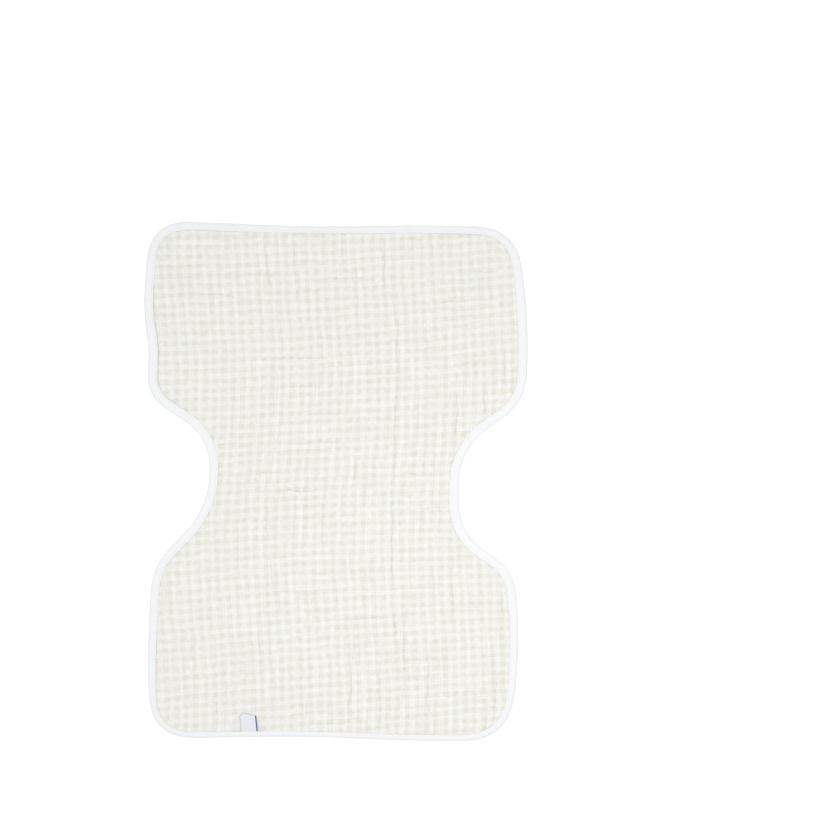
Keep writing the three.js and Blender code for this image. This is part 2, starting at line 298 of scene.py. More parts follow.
CREASES_ACROSS = [
    {"from": (-144, 155), "to": (-116, 157), "deep": 0.4},
    {"from": (-116, 157), "to": (-58, 150), "deep": 0.4},
    {"from": (-130, 180), "to": (-107, 179), "deep": 0.4},
    {"from": (-92, 174), "to": (-41, 172), "deep": 0.4},
    {"from": (-13, 170), "to": (34, 168), "deep": 0.4},
    {"from": (-30, 205), "to": (-1, 204), "deep": 0.5},
    {"from": (50, 201), "to": (80, 202), "deep": 0.5},
    {"from": (113, 175), "to": (135, 175), "deep": 0.6},
    {"from": (113, 162), "to": (132, 165), "deep": 0.4},
    {"from": (75, 148), "to": (114, 150), "deep": 0.4},
    {"from": (-28, 120), "to": (20, 118), "deep": 0.4},
    {"from": (-61, 103), "to": (-5, 103), "deep": 0.5},
    {"from": (24, 90), "to": (57, 90), "deep": 0.5},
    {"from": (-42, 80), "to": (-12, 79), "deep": 0.5},
    {"from": (-98, 83), "to": (-74, 82), "deep": 0.4},
    {"from": (-26, 56), "to": (2, 56), "deep": 0.5},
    {"from": (-31, 33), "to": (2, 33), "deep": 0.5},
    {"from": (-72, 7), "to": (-43, 8), "deep": 0.5},
    {"from": (-53, -7), "to": (-12, -7), "deep": 0.6},
    {"from": (-97, -10), "to": (-77, -10), "deep": 0.5},
    {"from": (-39, -20), "to": (-7, -20), "deep": 0.4},
    {"from": (-87, -33), "to": (-52, -33), "deep": 0.4},
    {"from": (52, 6), "to": (85, 6), "deep": 0.5},
    {"from": (66, -22), "to": (96, -22), "deep": 0.5},
    {"from": (2, -115), "to": (46, -112), "deep": 0.5},
    {"from": (52, -149), "to": (87, -148), "deep": 0.5},
]
CREASE_SPREAD = 2.4
CREASE_REACH = 3 * CREASE_SPREAD
WANDER = {"length": 10.0, "amount": 2.0, "seed": 5.0}


def line_of(crease):
    """A crease's start, direction, length and depth."""
    start, end = Vector(crease["from"]), Vector(crease["to"])
    return start, (end - start).normalized(), (end - start).length, crease["deep"]


crease_lines = [line_of(crease) for crease in CREASES_ALONG + CREASES_ACROSS]


def near_creases(x, y):
    """The creases near a point: the signed distance to each, and how deep it is there."""
    wander = noise.noise(Vector((x, y, WANDER["seed"])) / WANDER["length"]) * WANDER["amount"]
    found = []
    for start, along, length, deep in crease_lines:
        right, up = x - start.x, y - start.y
        share = (right * along.x + up * along.y) / length
        distance = right * along.y - up * along.x + wander
        if 0 < share < 1 and abs(distance) < CREASE_REACH:
            found.append((distance, deep * math.sqrt(math.sin(math.pi * share))))
    return found


def laid_unevenness(x, y):
    """The height of the swells and creases at a point, in millimetres."""
    height = 0.0
    for swell in SWELLS:
        turns = x / swell["across"] + y / swell["along"]
        height += swell["height"] * math.sin(2 * math.pi * turns + swell["shift"])
    for distance, deep in near_creases(x, y):
        height -= deep * math.exp(-((distance / CREASE_SPREAD) ** 2))
    return height


def fold_shade_line(x, y):
    """The distance to the fine fold at the bottom of the nearest crease, and how deep that is, for the shade
    painted along it.
    """
    return min(near_creases(x, y), key=lambda row: abs(row[0]), default=(0.0, 0.0))


print("creases:", len(crease_lines), "height in one at the right:", round(laid_unevenness(48, 9), 2), "mm")

# %% Puffs and fine crinkle
WARP_REPEAT = 8.04
WEFT_REPEAT = 7.81
WARP_CREAM_AT = 0.6
WEFT_CREAM_AT = 3.4

PUFF = 0.13
CRINKLES = [
    {"across": 34.0, "along": 5.6, "height": 0.38, "seed": 3.0},
    {"across": 5.8, "along": 40.0, "height": 0.34, "seed": 11.0},
    {"across": 9.5, "along": 9.5, "height": 0.22, "seed": 23.0},
]


def crinkle(s, t):
    """Height of the puffs and the crinkle at a place in the flat cloth, in millimetres."""
    warp_wave = math.cos(2 * math.pi * (s - WARP_CREAM_AT) / WARP_REPEAT)
    weft_wave = math.cos(2 * math.pi * (t - WEFT_CREAM_AT) / WEFT_REPEAT)
    height = PUFF * (warp_wave + weft_wave)
    for row in CRINKLES:
        place = Vector((s / row["across"], t / row["along"], row["seed"]))
        height += row["height"] * noise.noise(place)
    return height


print("crinkle at the middle:", round(crinkle(0, 0), 2), "mm")

# %% [markdown]
# ## The muslin panel
#
# A cloth could be simulated, but this one lies still and flat, and what matters is where its creases
# are, so it is shaped point by point. A grid plane is added and its rows and columns are spread between the
# four sides of the pattern. Each point then gets its height. Solidify turns the skin into a thin cloth
# with an underside. The panel goes under the tape all round, where the tape presses it thin.

# %% The grid spread over the pattern
GRID = {"columns": 188, "rows": 258}
RIM_INSET = 1.3
TURNS = ("top left", "top right", "bottom right", "bottom left")


def rim_side(first, last):
    """The rim's points from one corner of the cloth to the next, clockwise."""
    count = len(outline)
    steps = [(first + k) % count for k in range((last - first) % count + 1)]
    return [outline[i] - outs[i] * RIM_INSET for i in steps]


def at_share(points, share):
    position = share * (len(points) - 1)
    i = min(int(position), len(points) - 2)
    return points[i].lerp(points[i + 1], position - i)


def spread(u, v):
    """A place between the four sides: u from left to right and v from top to bottom, 0 to 1."""
    upper, lower = at_share(top_side, u), at_share(bottom_side, 1 - u)
    left, right = at_share(left_side, 1 - v), at_share(right_side, v)
    corners = top_side[0].lerp(top_side[-1], u).lerp(bottom_side[-1].lerp(bottom_side[0], u), v)
    return upper.lerp(lower, v) + left.lerp(right, u) - corners


turn_steps = [step for row, step in zip(PATTERN, corner_steps) if row["place"] in TURNS]
top_side, right_side, bottom_side, left_side = (
    rim_side(turn_steps[k], turn_steps[(k + 1) % 4]) for k in range(4)
)
print("middle of the spread:", tuple(round(c, 1) for c in spread(0.5, 0.5)))

# %% Steps that more than one piece needs
def deselect_all():
    bpy.ops.object.select_all(action="DESELECT")


def only(obj):
    """Makes an object the selected and active one."""
    deselect_all()
    obj.select_set(True)
    bpy.context.view_layer.objects.active = obj


def new_grid(columns, rows):
    """A flat grid, 1 by 1 about the origin."""
    deselect_all()
    bpy.ops.mesh.primitive_grid_add(x_subdivisions=columns, y_subdivisions=rows, size=1)
    return bpy.context.object


def lay_uv(mesh, name, places):
    """Gives each point its place in the flat piece, in metres, in the UV layer that gets this name."""
    layer = mesh.uv_layers.active or mesh.uv_layers.new()
    layer.name = name
    for loop in mesh.loops:
        layer.data[loop.index].uv = places[loop.vertex_index]


def thicken(obj, thickness, group=""):
    """Turns a skin into a ply with the skin in its middle, thinner where the group's weight is less."""
    only(obj)
    solidify = obj.modifiers.new("thickness", "SOLIDIFY")
    solidify.thickness = thickness * MM
    solidify.offset = 0
    solidify.vertex_group = group
    bpy.ops.object.modifier_apply(modifier=solidify.name)


def finished(obj, name, material):
    """Places the object at the origin with its place in its mesh, and names and finishes it."""
    only(obj)
    bpy.ops.object.transform_apply(location=True, rotation=True, scale=True)
    bpy.ops.object.shade_smooth()
    obj.name = name
    obj.data.name = name
    obj.data.materials.clear()
    obj.data.materials.append(material)
    print(name, "triangles:", sum(len(face.vertices) - 2 for face in obj.data.polygons))


# %% The muslin's height and thickness
MUSLIN = {"middle": 1.12, "thick": 1.8, "pressed_middle": 1.5, "pressed_thick": 1.0}
EASING = {"from": -0.6, "over": 4.2}
FLOOR_CLEARANCE = 0.02


def smooth_share(value):
    value = max(0.0, min(value, 1.0))
    return value * value * (3 - 2 * value)


def looseness(x, y):
    """0 where the tape presses the cloth, rising to 1 a few millimetres inside it."""
    _, i, distance = edge_finder.find((x, y, 0))
    return smooth_share((distance - tape_shows[i] - EASING["from"]) / EASING["over"])


def muslin_height(x, y, s, t, loose):
    relief = laid_unevenness(x, y) + crinkle(s, t)
    return MUSLIN["pressed_middle"] + loose * (MUSLIN["middle"] - MUSLIN["pressed_middle"] + relief)


# %% Modelling the panel
def make_panel():
    panel = new_grid(GRID["columns"], GRID["rows"])
    mesh = panel.data
    loose_group = panel.vertex_groups.new(name="loose")
    threads, folds = [], []
    for vertex in mesh.vertices:
        place = spread(vertex.co.x + 0.5, 0.5 - vertex.co.y)
        s, t = thread_place(place.x, place.y)
        loose = looseness(place.x, place.y)
        height = muslin_height(place.x, place.y, s, t, loose)
        vertex.co = Vector((place.x, place.y, height)) * MM
        thick = MUSLIN["pressed_thick"] + loose * (MUSLIN["thick"] - MUSLIN["pressed_thick"])
        loose_group.add([vertex.index], thick / MUSLIN["thick"], "REPLACE")
        # Each point also keeps its nearest crease fold, where the colour gets a dark line of painted shade.
        distance, deep = fold_shade_line(place.x, place.y)
        folds.append((distance, deep * loose, 0.0))
        threads.append((s * MM, t * MM))
    lay_uv(mesh, "threads", threads)
    fold_shade_lines = mesh.attributes.new("fold_shade_line", "FLOAT_VECTOR", "POINT")
    for value, fold in zip(fold_shade_lines.data, folds):
        value.vector = fold
    return panel


def thicken_panel(panel):
    thicken(panel, MUSLIN["thick"], "loose")
    panel.vertex_groups.clear()
    for vertex in panel.data.vertices:
        vertex.co.z = max(vertex.co.z, FLOOR_CLEARANCE * MM)


muslin_panel = make_panel()
thicken_panel(muslin_panel)
print("muslin panel points:", len(muslin_panel.data.vertices))

# %% [markdown]
# ## The tape
#
# The edge is bound with a cotton tape folded in two over it, its own edges turned under and stitched
# down through all the layers. By hand, it would be a run of points round the cloth that is extruded
# along the tape's section: round the outer fold, over the top, down into the groove that the stitches
# pull in, over the soft lip inside it, and back underneath. The last run is merged with the first.

# %% The section of the tape
# `from_edge` is measured in from the cloth's edge. A row with `lip` is measured from the tape's inner
# edge instead, and one with `share` is that share of the tape's width in. `follow` says how much of the
# lifts and puckers the row takes, which is all of them where it isn't given. `fill` is how much higher
# the row stands on the cloth's right side, where the tape is puffed and its groove hardly shows.
SECTION = [
    {"name": "outer fold, lower", "from_edge": 0.08, "height": 0.6, "follow": 0},
    {"name": "outer fold, middle", "from_edge": 0.0, "height": 1.0, "follow": 0.1},
    {"name": "outer fold, upper", "from_edge": 0.16, "height": 1.5, "follow": 0.3},
    {"name": "outer fold, shoulder", "from_edge": 0.5, "height": 2.0, "follow": 0.7},
    {"name": "outer slope", "from_edge": 1.05, "height": 2.45},
    {"name": "crown, outer", "share": 0.34, "height": 2.84},
    {"name": "crown, inner", "lip": 2.5, "height": 2.84},
    {"name": "stitch slope", "lip": 1.9, "height": 2.68, "fill": 0.08},
    {"name": "stitch groove, outer", "lip": 1.6, "height": 2.42, "fill": 0.22},
    {"name": "stitch groove, inner", "lip": 1.3, "height": 2.4, "fill": 0.22},
    {"name": "lip, outer", "lip": 0.95, "height": 2.56, "fill": 0.05},
    {"name": "lip, crown", "lip": 0.5, "height": 2.6},
    {"name": "lip, inner", "lip": 0.14, "height": 2.46},
    {"name": "inner edge", "lip": 0.0, "height": 2.28},
    {"name": "inner edge, under", "lip": 0.14, "height": 2.14},
    {"name": "under the top", "lip": 0.8, "height": 2.14},
    {"name": "inside, upper", "from_edge": 1.2, "height": 2.1},
    {"name": "inside, fold", "from_edge": 1.0, "height": 1.5, "follow": 0},
    {"name": "inside, lower", "from_edge": 1.2, "height": 0.7, "follow": 0},
    {"name": "over the back", "lip": 0.8, "height": 0.7, "follow": 0},
    {"name": "back edge, over", "lip": 0.14, "height": 0.62, "follow": 0},
    {"name": "back edge", "lip": 0.0, "height": 0.4, "follow": 0},
    {"name": "back edge, under", "lip": 0.16, "height": 0.14, "follow": 0},
    {"name": "back lip", "lip": 0.6, "height": 0.03, "follow": 0},
    {"name": "back groove, inner", "lip": 1.25, "height": 0.2, "follow": 0},
    {"name": "back groove, outer", "lip": 1.65, "height": 0.2, "follow": 0},
    {"name": "back", "lip": 2.3, "height": 0.02, "follow": 0},
    {"name": "back slope", "from_edge": 1.0, "height": 0.02, "follow": 0},
    {"name": "outer fold, foot", "from_edge": 0.4, "height": 0.3, "follow": 0},
]

# %% How the tape lies
LABEL = {"x": -71.7, "width": 13.4, "ply": 0.25}
LABEL_LIFT = {"height": 0.62, "beside": 1.2, "fades": 8.0}
PUCKER = {"length": 6.5, "height": 0.22, "in_plane": 0.16, "seed": 3.0}
LIP_ROLL = 2.5
LOOSE_LIPS = [
    {"place": "left side", "x": -152.0, "y": 112.0, "reach": 66.0, "lift": 0.75},
    {"place": "left shoulder", "x": -140.0, "y": 58.0, "reach": 26.0, "lift": 0.5},
    {"place": "left skirt", "x": -152.0, "y": -140.0, "reach": 40.0, "lift": 0.35},
    {"place": "top edge, left", "x": -95.0, "y": 208.0, "reach": 40.0, "lift": 0.25},
    {"place": "top edge, right", "x": 100.0, "y": 206.0, "reach": 45.0, "lift": 0.3},
]


def lift_over_label(point):
    if point.y > 0:
        return 0.0
    past = abs(point.x - LABEL["x"]) - LABEL["width"] / 2 - LABEL_LIFT["beside"]
    return LABEL_LIFT["height"] * (1 - smooth_share(past / LABEL_LIFT["fades"]))


def pucker(i):
    """Small uneven puckers that the stitching draws up along the tape."""
    return noise.noise(Vector((outline[i].x, outline[i].y, PUCKER["seed"])) / PUCKER["length"])


def lip_lift(point):
    """How far the tape's inner lip stands off the cloth: a narrow dark slit shows under it there."""
    lift = 0.0
    for row in LOOSE_LIPS:
        distance = math.hypot(point.x - row["x"], point.y - row["y"])
        lift += row["lift"] * (1 - smooth_share(distance / row["reach"]))
    return lift


def inset_of(row, width):
    """How far in from the cloth's edge a row of the section is, where the tape has this width."""
    if "lip" in row:
        return width - row["lip"]
    return width * row["share"] if "share" in row else row["from_edge"]


def section_point(row, i):
    """The place in millimetres of one row of the section at one step of the outline."""
    width = tape_shows[i]
    inset = inset_of(row, width)
    ripple = pucker(i)
    share = smooth_share(inset / width)
    place = outline[i] - outs[i] * (inset + ripple * PUCKER["in_plane"] * share)
    lift = lift_over_label(outline[i]) + ripple * PUCKER["height"] * share
    lift += lip_lift(outline[i]) * smooth_share((inset - width + LIP_ROLL) / LIP_ROLL)
    puffed = row.get("fill", 0.0) * max(0.0, outs[i].x)
    return Vector((place.x, place.y, row["height"] + puffed + row.get("follow", 1) * lift))


print("section rows:", len(SECTION), "lift over the label:", round(lift_over_label(Vector((-72, -210))), 2))

# %% Modelling the tape
MERGE_WITHIN = 0.02


def make_tape():
    deselect_all()
    bpy.ops.mesh.primitive_circle_add(vertices=len(outline), radius=WIDTH * MM / 2, fill_type="NOTHING")
    tape = bpy.context.object
    bpy.ops.object.mode_set(mode="EDIT")
    mesh = bmesh.from_edit_mesh(tape.data)
    step = mesh.verts.layers.int.new("step")
    run = mesh.verts.layers.int.new("run")
    mesh.verts.ensure_lookup_table()
    for i, vertex in enumerate(mesh.verts):
        vertex[step] = i
        vertex.co = section_point(SECTION[0], i) * MM
    for number, row in enumerate(SECTION[1:] + SECTION[:1], start=1):
        bpy.ops.mesh.select_mode(type="EDGE")
        bpy.ops.mesh.extrude_edges_move()
        mesh = bmesh.from_edit_mesh(tape.data)
        step, run = mesh.verts.layers.int["step"], mesh.verts.layers.int["run"]
        for vertex in mesh.verts:
            if vertex.select:
                vertex.co = section_point(row, vertex[step]) * MM
                vertex[run] = number
    return tape


# A face that crosses the end of the run is counted past it, so that the pattern doesn't fold back.
def lay_tape_uv(tape):
    mesh = bmesh.from_edit_mesh(tape.data)
    step, run = mesh.verts.layers.int["step"], mesh.verts.layers.int["run"]
    around = [0.0]
    closed = SECTION + SECTION[:1]
    for row, after in zip(closed, closed[1:]):
        around.append(around[-1] + (section_point(after, 0) - section_point(row, 0)).length)
    layer = mesh.loops.layers.uv.new("along_tape")
    for face in mesh.faces:
        steps = [loop.vert[step] for loop in face.loops]
        wraps = max(steps) - min(steps) > 1
        for loop in face.loops:
            position = loop.vert[step]
            if wraps and position == 0:
                position = len(outline)
            loop[layer].uv = (position * OUTLINE_STEP * MM, around[loop.vert[run]] * MM)


def close_tape(tape):
    bpy.ops.mesh.select_all(action="SELECT")
    bpy.ops.mesh.remove_doubles(threshold=MERGE_WITHIN * MM)
    bpy.ops.mesh.normals_make_consistent(inside=False)
    bpy.ops.object.mode_set(mode="OBJECT")


edge_binding = make_tape()
lay_tape_uv(edge_binding)
close_tape(edge_binding)
print("tape points:", len(edge_binding.data.vertices))

# %% [markdown]
# ## The stitches
#
# A lockstitch machine sews the tape down in stitches of about 2.6 mm, which sit in the groove just
# outside the lip, and show on the back as well. One stitch is modelled as a short grain of thread, and
# copies of it, each with its own mesh, follow the groove and are joined into one piece.

# %% One stitch
STITCH = {"pitch": 2.6, "length": 2.15, "thick": 0.36, "from_lip": 1.45, "above": 0.06, "tilt": 4.0}
GROOVE = {"height": 2.41, "fill": 0.22}
BACK_GROOVE_HEIGHT = 0.2
GRAIN = {"segments": 8, "ring_count": 5, "radius": 0.5}


def make_stitch():
    deselect_all()
    bpy.ops.mesh.primitive_uv_sphere_add(**GRAIN, rotation=(0, math.pi / 2, 0))
    stitch = bpy.context.object
    bpy.ops.object.transform_apply(location=True, rotation=True, scale=True)
    bpy.ops.object.mode_set(mode="EDIT")
    bpy.ops.mesh.select_all(action="SELECT")
    bpy.ops.transform.resize(value=(STITCH["length"] * MM, STITCH["thick"] * MM, STITCH["thick"] * MM))
    bpy.ops.object.mode_set(mode="OBJECT")
    return stitch


# %% Copies along both faces of the tape
def stitch_places():
    """The place and direction of every stitch, on the upper face and then on the back."""
    height = GROOVE["height"] + STITCH["above"]
    groove = {"lip": STITCH["from_lip"], "height": height, "fill": GROOVE["fill"]}
    back = {"lip": STITCH["from_lip"], "height": BACK_GROOVE_HEIGHT, "follow": 0}
    count = round(perimeter / STITCH["pitch"])
    for row in (groove, back):
        for k in range(count):
            i = round(k * len(outline) / count) % len(outline)
            ahead = section_point(row, (i + 1) % len(outline))
            behind = section_point(row, i - 1)
            yield section_point(row, i), (ahead - behind).normalized()


def sew(stitch):
    joined = bmesh.new()
    tilt = Matrix.Rotation(math.radians(STITCH["tilt"]), 4, "Z")
    for place, direction in stitch_places():
        copy = stitch.data.copy()
        turn = direction.to_track_quat("X", "Z").to_matrix().to_4x4()
        copy.transform(Matrix.Translation(place * MM) @ turn @ tilt)
        joined.from_mesh(copy)
        bpy.data.meshes.remove(copy)
    joined.to_mesh(stitch.data)
    joined.free()
    return stitch


topstitching = sew(make_stitch())
print("stitches:", sum(1 for _ in stitch_places()))

# %% [markdown]
# ## The label
#
# The label is a woven ribbon folded in two, its ends caught under the tape and its fold cut askew, so
# that one side stands higher. A flat grid strip is bent along the ribbon's path: out from under the
# tape, up onto the cloth, round the fold and back. Solidify then gives it the ribbon's thickness.

# %% The ribbon's path
RIBBON = {
    "columns": 22,
    "rows": 64,
    "tail": 3.0,
    "ramp": 3.0,
    "ramp_starts_under": 0.6,
    "height": 2.34,
    "gap": 0.3,
    "lean": -1.35,
    "peek": 0.9,
    "curl": 0.1,
}
RIBBON_TOP = [
    {"across": 0.0, "reach": 12.6},
    {"across": 0.1, "reach": 14.0},
    {"across": 0.22, "reach": 15.0},
    {"across": 0.5, "reach": 14.3},
    {"across": 1.0, "reach": 12.9},
]
label_step = min(
    (i for i in range(len(outline)) if outline[i].y < 0), key=lambda i: abs(outline[i].x - LABEL["x"])
)
label_root_y = outline[label_step].y + tape_shows[label_step]


def ribbon_reach(across):
    for low, high in zip(RIBBON_TOP, RIBBON_TOP[1:]):
        if across <= high["across"]:
            share = (across - low["across"]) / (high["across"] - low["across"])
            return low["reach"] + (high["reach"] - low["reach"]) * share
    return RIBBON_TOP[-1]["reach"]


def ribbon_length():
    return 2 * (RIBBON["tail"] + max(row["reach"] for row in RIBBON_TOP))


def ribbon_point(across, along):
    """A place on the ribbon: across it from left to right, and along it from one end to the other."""
    reach = ribbon_reach(across)
    upper = along > 0.5
    share = 2 - 2 * along if upper else 2 * along
    distance = -RIBBON["tail"] + share * (reach + RIBBON["tail"])
    rise = smooth_share((distance + RIBBON["ramp_starts_under"]) / RIBBON["ramp"])
    puff = RIBBON["gap"] * rise
    from_fold = reach - distance
    if from_fold < RIBBON["gap"]:
        puff *= math.sqrt(max(0.0, 1 - (1 - from_fold / RIBBON["gap"]) ** 2))
    sway = RIBBON["lean"] * max(0.0, distance) / reach
    peek = 0.0 if upper else RIBBON["peek"] * (1 - smooth_share(share * 2 - 1))
    x = LABEL["x"] + (across - 0.5) * LABEL["width"] + sway + peek
    curl = RIBBON["curl"] * (2 * across - 1) ** 2 * rise
    z = RIBBON["height"] + curl + (LABEL["ply"] + puff if upper else 0.0)
    return Vector((x, label_root_y + distance, z))


print("label root at y =", round(label_root_y, 1), "mm")

# %% Modelling the label
def make_label():
    label = new_grid(RIBBON["columns"], RIBBON["rows"])
    mesh = label.data
    shares = [(vertex.co.x + 0.5, vertex.co.y + 0.5) for vertex in mesh.vertices]
    for vertex, (across, along) in zip(mesh.vertices, shares):
        vertex.co = ribbon_point(across, along) * MM
    width, length = LABEL["width"], ribbon_length()
    lay_uv(mesh, "ribbon", [(across * width * MM, along * length * MM) for across, along in shares])
    thicken(label, LABEL["ply"])
    bpy.ops.object.mode_set(mode="EDIT")
    bpy.ops.mesh.select_all(action="SELECT")
    bpy.ops.mesh.normals_make_consistent(inside=False)
    bpy.ops.object.mode_set(mode="OBJECT")
    return label


sewn_label = make_label()
print("label points:", len(sewn_label.data.vertices))

# %% [markdown]
# ## Materials
#
# Every material here is a fibre, so none is glossy and none is metal. Each starts from the yarn: its
# colour, how it is woven and how far apart the threads are. One small function adds a node with its
# settings and links, and a few shorter ones call it for the nodes that come up most. Another turns a
# printed colour into the linear light that the shader works in.

# %% Helpers for materials
def linear(hex_colour):
    """An sRGB hex colour as linear red, green, blue and alpha."""
    parts = [int(hex_colour[i : i + 2], 16) / 255 for i in (1, 3, 5)]
    return (*(c / 12.92 if c <= 0.04045 else ((c + 0.055) / 1.055) ** 2.4 for c in parts), 1.0)


def connect(tree, node, inputs):
    """Gives each input a value, or links the output of another node to it."""
    for socket, value in inputs.items():
        if isinstance(value, bpy.types.NodeSocket):
            tree.links.new(value, node.inputs[socket])
        else:
            node.inputs[socket].default_value = value


def add_node(tree, kind, inputs=None, **settings):
    node = tree.nodes.new(kind)
    for name, value in settings.items():
        setattr(node, name, value)
    connect(tree, node, inputs or {})
    return node


def new_material(name):
    """A material with an empty tree but for its shader and output."""
    material = bpy.data.materials.new(name)
    material.use_nodes = True
    tree = material.node_tree
    tree.nodes.clear()
    shader = add_node(tree, "ShaderNodeBsdfPrincipled")
    add_node(tree, "ShaderNodeOutputMaterial", {"Surface": shader.outputs["BSDF"]})
    return material, tree, shader


# %% Nodes that come up again and again
def computed(tree, operation, *values):
    """The result of a maths node, given its inputs in order."""
    return add_node(tree, "ShaderNodeMath", dict(enumerate(values)), operation=operation).outputs[0]


def ranged(tree, value, low, high, to_low=0.0, to_high=1.0, curve="LINEAR"):
    """A value carried from one range to another, and held at its ends."""
    limits = {"Value": value, "From Min": low, "From Max": high, "To Min": to_low, "To Max": to_high}
    return add_node(tree, "ShaderNodeMapRange", limits, interpolation_type=curve).outputs["Result"]


def cloudy(tree, place, scale, detail=2.0, output="Fac"):
    """Soft noise, with lumps of about one over the scale."""
    inputs = {"Vector": place, "Scale": scale, "Detail": detail}
    return add_node(tree, "ShaderNodeTexNoise", inputs).outputs[output]


def axes(tree, vector):
    """The parts of a vector, by the names X, Y and Z."""
    return add_node(tree, "ShaderNodeSeparateXYZ", {0: vector}).outputs


def mixed_colour(tree, amount, colour, other, blend="MIX"):
    inputs = {0: amount, 6: colour, 7: other}
    return add_node(tree, "ShaderNodeMix", inputs, data_type="RGBA", blend_type=blend).outputs[2]


def bumped(tree, height, raised, **under):
    """The normal of a bump raised some millimetres, on top of the `Normal` under it if one is given."""
    inputs = {"Height": height, "Distance": raised * MM, **under}
    return add_node(tree, "ShaderNodeBump", inputs).outputs["Normal"]


def place_in_mm(tree, layer):
    """The place in a piece laid out flat, which one of its UV layers holds in metres."""
    uv = add_node(tree, "ShaderNodeUVMap", uv_map=layer).outputs["UV"]
    return add_node(tree, "ShaderNodeVectorMath", {0: uv, "Scale": 1 / MM}, operation="SCALE").outputs[0]


# %% [markdown]
# ### Check muslin
#
# The gauze is yarn-dyed: bands of off-white and of pale cream yarn, about 4 mm each, run both ways. The
# yarns are about 0.5 mm apart in the cloth, too fine to show from here, so they are drawn in pairs, 1.3
# mm apart and six to a repeat. Slubs, thicker and thinner stretches of yarn, make streaks both ways along
# the weave. Cotton gauze has no gloss, only a faint fuzz.

# %% Where the muslin's yarns are
YARNS_TO_A_REPEAT = 6.0
BAND_EDGE = 0.8
YARN_STRAY = {"length": 7.0, "amount": 1.6}


def muslin_places(tree):
    """The place in the flat cloth in millimetres, and the same with each yarn straying a little."""
    flat = place_in_mm(tree, "threads")
    noisy = cloudy(tree, flat, 1 / YARN_STRAY["length"], output="Color")
    centred = add_node(tree, "ShaderNodeVectorMath", {0: noisy, 1: (0.5, 0.5, 0.5)}, operation="SUBTRACT")
    amount = (YARN_STRAY["amount"], YARN_STRAY["amount"], 0.0)
    strayed = add_node(
        tree, "ShaderNodeVectorMath", {0: centred.outputs[0], 1: amount, 2: flat}, operation="MULTIPLY_ADD"
    )
    return flat, strayed.outputs[0]


def bands_and_yarns(tree, place):
    """For the warp and the weft: how far a place is in a cream band, and the wave of single yarns."""
    parts = axes(tree, place)
    found = []
    for axis, repeat, cream_at in (("X", WARP_REPEAT, WARP_CREAM_AT), ("Y", WEFT_REPEAT, WEFT_CREAM_AT)):
        offset = computed(tree, "SUBTRACT", parts[axis], cream_at)
        turn = computed(tree, "MULTIPLY", offset, 2 * math.pi / repeat)
        band = ranged(tree, computed(tree, "COSINE", turn), -BAND_EDGE, BAND_EDGE, curve="SMOOTHSTEP")
        yarn = computed(tree, "SINE", computed(tree, "MULTIPLY", turn, YARNS_TO_A_REPEAT))
        found.append((band, yarn))
    return found


# %% The muslin's colour, with painted shade along the creases
WHITE_YARN = "#E4E4E2"
CREAM_YARN = "#DAD8CE"
SLUBS = [
    {"across": 1.5, "along": 60.0, "depth": 0.034},
    {"across": 45.0, "along": 1.4, "depth": 0.03},
    {"across": 4.0, "along": 3.9, "depth": 0.035},
]
SLUB_RANGE = (0.25, 0.75)
WEFT_ON_TOP = (0.3, 0.7)
CROSSING = 0.22
DYE = {"length": 9.0, "amount": 0.5}
# A broken dark line of painted shade along the fold at the bottom of each crease, where the cloth folds in
# and little light reaches.
FOLD_SHADE = {"width": 1.15, "break_length": 2.6, "breaks": (0.35, 0.6), "shade": (0.74, 0.71, 0.65, 1.0)}


def check_colour(tree, warp, weft, flat):
    """White to cream, by how much cream yarn is on top at a place and how well it took the dye."""
    over = computed(tree, "MULTIPLY", warp[1], weft[1])
    on_top = ranged(tree, over, -1.0, 1.0, *WEFT_ON_TOP)
    mixed = add_node(tree, "ShaderNodeMix", {0: on_top, 2: warp[0], 3: weft[0]}).outputs[0]
    both = computed(tree, "MULTIPLY", warp[0], weft[0])
    cream = add_node(tree, "ShaderNodeMix", {0: CROSSING, 2: mixed, 3: both}).outputs[0]
    dye = cloudy(tree, flat, 1 / DYE["length"], detail=1.0)
    taken = ranged(tree, dye, 0.0, 1.0, 1 - DYE["amount"], 1 + DYE["amount"])
    cream = computed(tree, "MULTIPLY", cream, taken)
    return mixed_colour(tree, cream, linear(WHITE_YARN), linear(CREAM_YARN))


def slubbed(tree, colour, flat):
    """The colour darkened and lightened along thick and thin stretches of yarn."""
    for row in SLUBS:
        stretch = (1 / row["across"], 1 / row["along"], 1.0)
        stretched = add_node(tree, "ShaderNodeVectorMath", {0: flat, 1: stretch}, operation="MULTIPLY")
        streak = cloudy(tree, stretched.outputs[0], 1.0, detail=1.0)
        tone = ranged(tree, streak, *SLUB_RANGE, 1 - row["depth"], 1 + row["depth"])
        colour = mixed_colour(tree, 1.0, colour, tone, "MULTIPLY")
    return colour


def with_painted_fold_shade(tree, colour, flat):
    """The colour with painted shade: thin dark lines along the creases' folds, where little light reaches,
    broken as they run.
    """
    found = add_node(tree, "ShaderNodeAttribute", attribute_name="fold_shade_line").outputs["Vector"]
    parts = axes(tree, found)
    distance, deep = computed(tree, "ABSOLUTE", parts["X"]), parts["Y"]
    line = ranged(tree, distance, 0.0, FOLD_SHADE["width"], 1.0, 0.0, curve="SMOOTHSTEP")
    shown = ranged(tree, cloudy(tree, flat, 1 / FOLD_SHADE["break_length"]), *FOLD_SHADE["breaks"])
    sharp = computed(tree, "MULTIPLY", line, deep)
    amount = computed(tree, "MULTIPLY", sharp, shown)
    return mixed_colour(tree, amount, colour, FOLD_SHADE["shade"], "MULTIPLY")


# %% The muslin's bump and finish
MUSLIN_BUMP = {"yarn": 0.05, "fuzz": 0.12, "fuzz_length": 2.2}
MUSLIN_FINISH = {
    "Roughness": 0.95,
    "Specular IOR Level": 0.15,
    "Sheen Weight": 0.08,
    "Sheen Roughness": 0.6,
}


